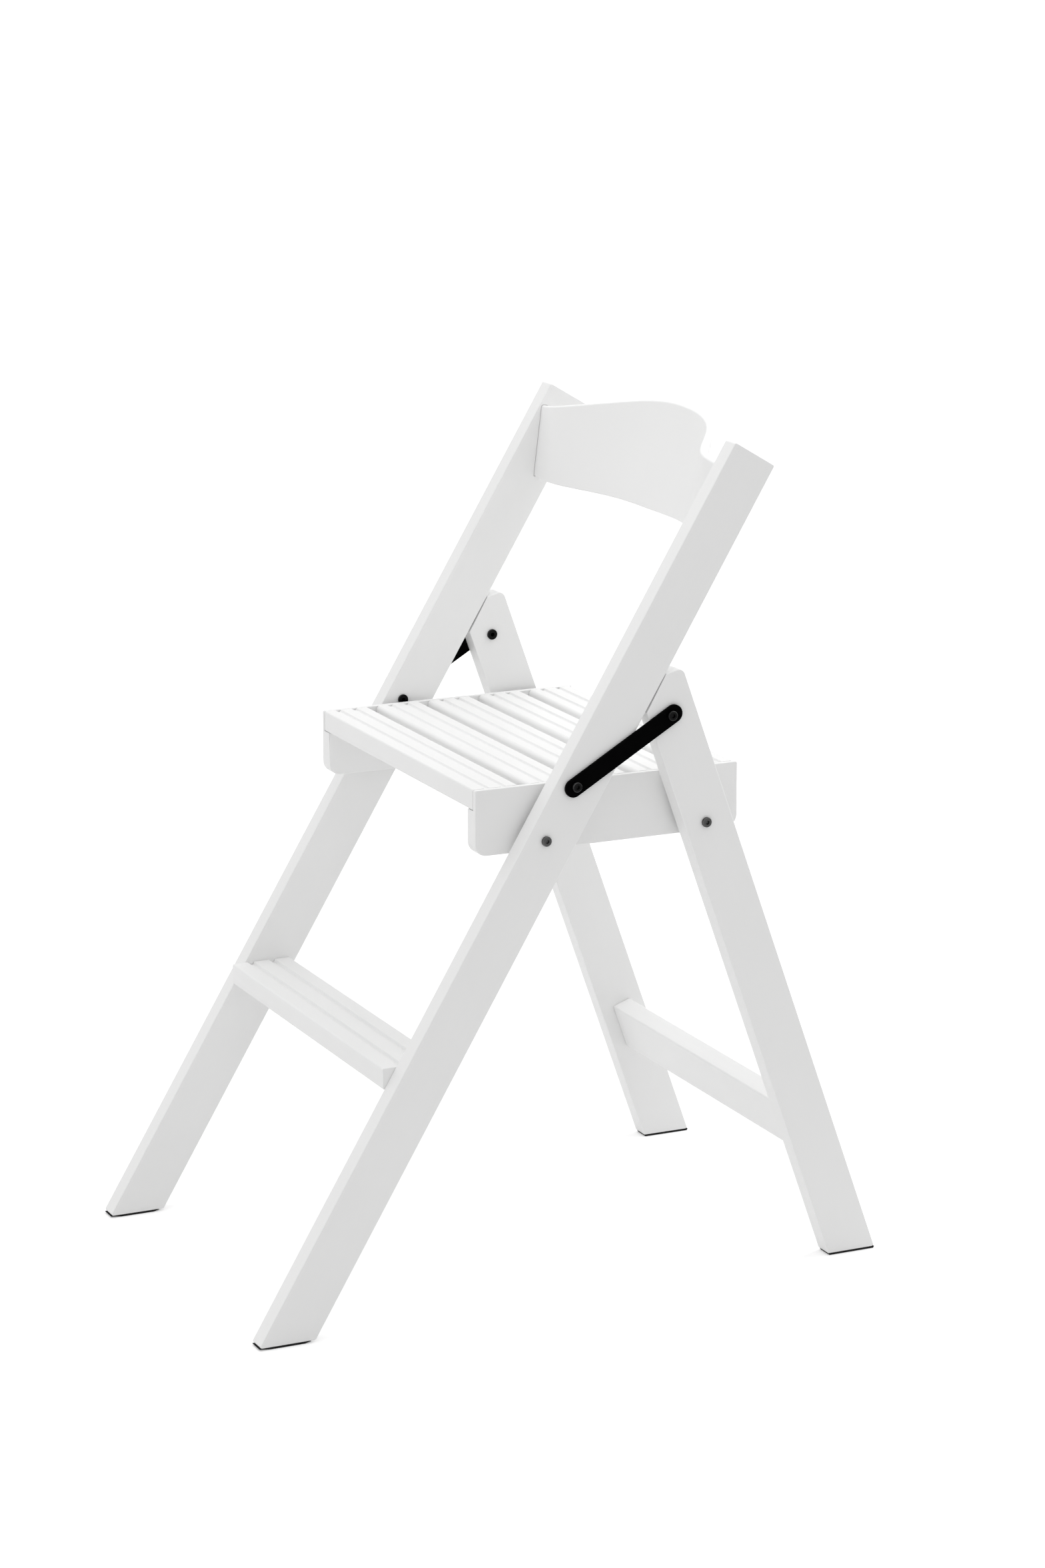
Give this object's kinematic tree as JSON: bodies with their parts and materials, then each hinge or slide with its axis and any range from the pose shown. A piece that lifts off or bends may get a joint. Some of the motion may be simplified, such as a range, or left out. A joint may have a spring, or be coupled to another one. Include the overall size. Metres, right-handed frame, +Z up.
{
  "type": "library step chair",
  "caption": "Folding wooden chair with a bowed back panel, slatted seat and low tread, usable as a step stool.",
  "frame": {"origin": "on the floor, in the middle of the footprint of the open chair", "axes": "+X to the sitter's left, +Y from front to back, +Z up"},
  "size_m": [0.4428, 0.6668, 0.8382],
  "materials": {
    "white_panel": "white satin paint on moulded plywood",
    "white_board": "white satin paint on planed hardwood",
    "white_slat": "white satin paint on grooved hardwood slats",
    "black_steel": "black satin coated steel",
    "black_nylon": "black nylon",
    "black_rubber": "thin black rubber",
    "bare_beech": "bare beech dowel"
  },
  "bodies": {
    "front_frame": {"stile_left": "white_board", "stile_right": "white_board", "crest_panel": "white_panel", "tread": "white_board", "tread_dowel_left_1": "bare_beech", "tread_dowel_left_2": "bare_beech", "tread_dowel_right_1": "bare_beech", "tread_dowel_right_2": "bare_beech", "front_foot_pad_left": "black_rubber", "front_foot_pad_right": "black_rubber", "seat_bolt_left": "black_steel", "seat_bolt_right": "black_steel", "seat_bolt_nut_left": "black_steel", "seat_bolt_nut_right": "black_steel", "seat_spacer_left": "black_nylon", "seat_spacer_right": "black_nylon", "stile_link_bolt_left": "black_steel", "stile_link_bolt_right": "black_steel", "stile_link_nut_left": "black_steel", "stile_link_nut_right": "black_steel"},
    "seat": {"seat_side_left": "white_board", "seat_side_right": "white_board", "seat_slat_1": "white_slat", "seat_slat_2": "white_slat", "seat_slat_3": "white_slat", "seat_slat_4": "white_slat", "seat_slat_5": "white_slat", "slat_dowel_left_1": "bare_beech", "slat_dowel_left_2": "bare_beech", "slat_dowel_left_3": "bare_beech", "slat_dowel_left_4": "bare_beech", "slat_dowel_left_5": "bare_beech", "slat_dowel_right_1": "bare_beech", "slat_dowel_right_2": "bare_beech", "slat_dowel_right_3": "bare_beech", "slat_dowel_right_4": "bare_beech", "slat_dowel_right_5": "bare_beech"},
    "rear_frame": {"rear_leg_left": "white_board", "rear_leg_right": "white_board", "rear_stretcher": "white_board", "stretcher_dowel_left_1": "bare_beech", "stretcher_dowel_left_2": "bare_beech", "stretcher_dowel_right_1": "bare_beech", "stretcher_dowel_right_2": "bare_beech", "rear_foot_pad_left": "black_rubber", "rear_foot_pad_right": "black_rubber", "leg_bolt_left": "black_steel", "leg_bolt_right": "black_steel", "leg_bolt_nut_left": "black_steel", "leg_bolt_nut_right": "black_steel", "leg_spacer_left": "black_nylon", "leg_spacer_right": "black_nylon", "leg_link_nut_left": "black_steel", "leg_link_nut_right": "black_steel"},
    "link_left": {"link_left": "black_steel", "leg_link_bolt_left": "black_steel"},
    "link_right": {"link_right": "black_steel", "leg_link_bolt_right": "black_steel"}
  },
  "joints": [
    {"name": "seat_fold", "type": "hinge", "parent": "front_frame", "child": "seat", "pos_m": [0, -0.03407, 0.4645], "axis": [-1, 0, 0], "range_deg": [0, 102.7]},
    {"name": "rear_frame_fold", "type": "hinge", "parent": "seat", "child": "rear_frame", "pos_m": [0, 0.13793, 0.4645], "axis": [1, 0, 0], "range_deg": [0, 52]},
    {"name": "link_fold_left", "type": "hinge", "parent": "front_frame", "child": "link_left", "pos_m": [0.2168, -0.00358, 0.51524], "axis": [-1, 0, 0], "range_deg": [0, 124.2]},
    {"name": "link_fold_right", "type": "hinge", "parent": "front_frame", "child": "link_right", "pos_m": [-0.2168, -0.00358, 0.51524], "axis": [-1, 0, 0], "range_deg": [0, 124.2]}
  ],
  "couplings": [
    {"joint": "rear_frame_fold", "follows": "seat_fold", "ratio": 0.5062},
    {"joint": "link_fold_left", "follows": "seat_fold", "ratio": 1.2093},
    {"joint": "link_fold_right", "follows": "seat_fold", "ratio": 1.2093}
  ]
}
